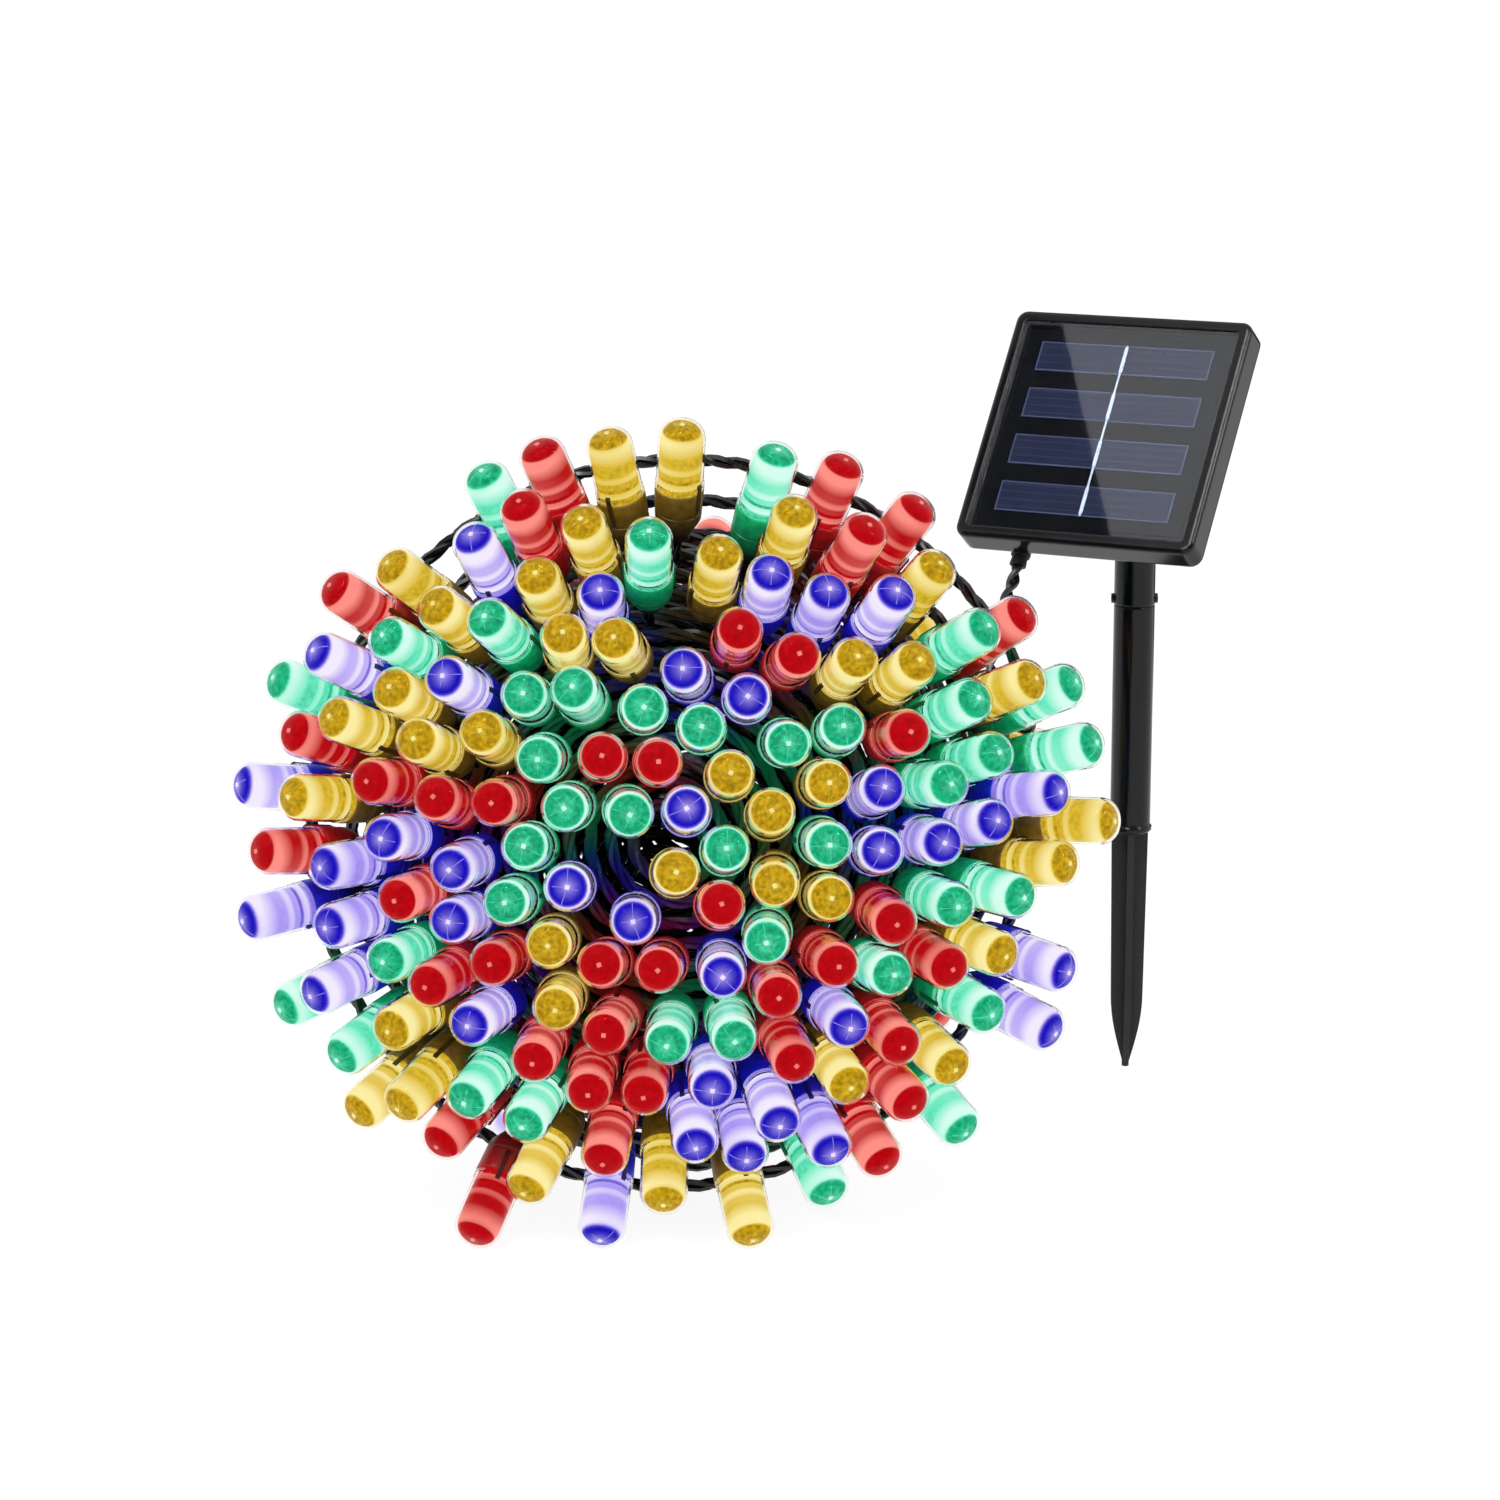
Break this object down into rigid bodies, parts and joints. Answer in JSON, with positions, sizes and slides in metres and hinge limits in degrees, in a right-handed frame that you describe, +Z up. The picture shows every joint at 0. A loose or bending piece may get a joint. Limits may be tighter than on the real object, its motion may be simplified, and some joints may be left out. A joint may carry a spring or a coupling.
{
  "type": "solar string lights",
  "caption": "Heap of coloured bulbs on a coiled wire, fed by a small square solar panel that tilts on a ground stake with a pointed spike.",
  "frame": {"origin": "tip of the ground spike, on the floor under the post's axis", "axes": "+Z up along the post, -Y towards the viewer of the picture, +X to the viewer's right; the string is heaped on the -X, -Y side"},
  "size_m": [0.2526, 0.1948, 0.2016],
  "materials": {
    "black_abs": "moulded, glossy",
    "clear_cover": "clear cast cover",
    "tinned_ribbon": "tinned",
    "silicon": "blue-black coated wafer",
    "black_board": "black laminate",
    "black_rubber": "moulded",
    "zinc_steel": "zinc plated",
    "green_board": "solder mask",
    "switch_plastic": "moulded",
    "button_plastic": "moulded, satin",
    "battery_sleeve": "shrink sleeve",
    "contact_steel": "nickel plated",
    "matt_black": "moulded, matt",
    "wire_pvc": "extruded insulation",
    "holder_red": "tinted, lit from in front",
    "holder_amber": "tinted, lit from in front",
    "holder_green": "tinted, lit from in front",
    "holder_blue": "tinted, lit from in front",
    "lens_red": "clear tinted moulding",
    "lens_amber": "clear tinted moulding",
    "lens_green": "clear tinted moulding",
    "lens_blue": "clear tinted moulding",
    "led_red": "moulded reflector and chip",
    "led_amber": "moulded reflector and chip",
    "led_green": "moulded reflector and chip",
    "led_blue": "moulded reflector and chip"
  },
  "bodies": {
    "string": {"neck": "black_abs", "lead_wire": "wire_pvc", "string_coil": "wire_pvc", "string_end_cap": "wire_pvc", "wire_tails": "wire_pvc", "holder_red": "holder_red", "holder_amber": "holder_amber", "holder_green": "holder_green", "holder_blue": "holder_blue", "lens_red": "lens_red", "lens_amber": "lens_amber", "lens_green": "lens_green", "lens_blue": "lens_blue", "led_red": "led_red", "led_amber": "led_amber", "led_green": "led_green", "led_blue": "led_blue"},
    "panel_head": {"front_bezel": "black_abs", "clear_cover": "clear_cover", "bus_ribbon": "tinned_ribbon", "solar_cells": "silicon", "solar_backing": "black_board", "housing_gasket": "black_rubber", "rear_housing": "black_abs", "housing_screws": "zinc_steel", "circuit_board": "green_board", "board_screws": "zinc_steel", "tact_switches": "switch_plastic", "battery_cell": "battery_sleeve", "battery_contacts": "contact_steel", "cable_gland": "black_rubber", "tilt_bolt": "zinc_steel", "tilt_nut": "zinc_steel"},
    "stake": {"post_tube": "black_abs", "ground_spike": "matt_black"},
    "power_button": {"power_button": "button_plastic"},
    "mode_button": {"mode_button": "button_plastic"}
  },
  "joints": [
    {"name": "panel_tilt", "type": "hinge", "parent": "string", "child": "panel_head", "pos_m": [0, 0, 0.1568], "axis": [-0.8729, 0.4879, 0], "range_deg": [-34, 50], "deforming": ["lead_wire"]},
    {"name": "stake_swivel", "type": "hinge", "parent": "string", "child": "stake", "pos_m": [0, 0, 0.1], "axis": [0, 0, 1], "range_deg": [-180, 180]},
    {"name": "power_press", "type": "slide", "parent": "panel_head", "child": "power_button", "axis": [-0.4011, -0.7177, 0.5693], "range_m": [0, 0.0008], "stiffness_N_per_m": 1500, "springref_m": -0.0004},
    {"name": "mode_press", "type": "slide", "parent": "panel_head", "child": "mode_button", "axis": [-0.4011, -0.7177, 0.5693], "range_m": [0, 0.0008], "stiffness_N_per_m": 1500, "springref_m": -0.0004}
  ]
}
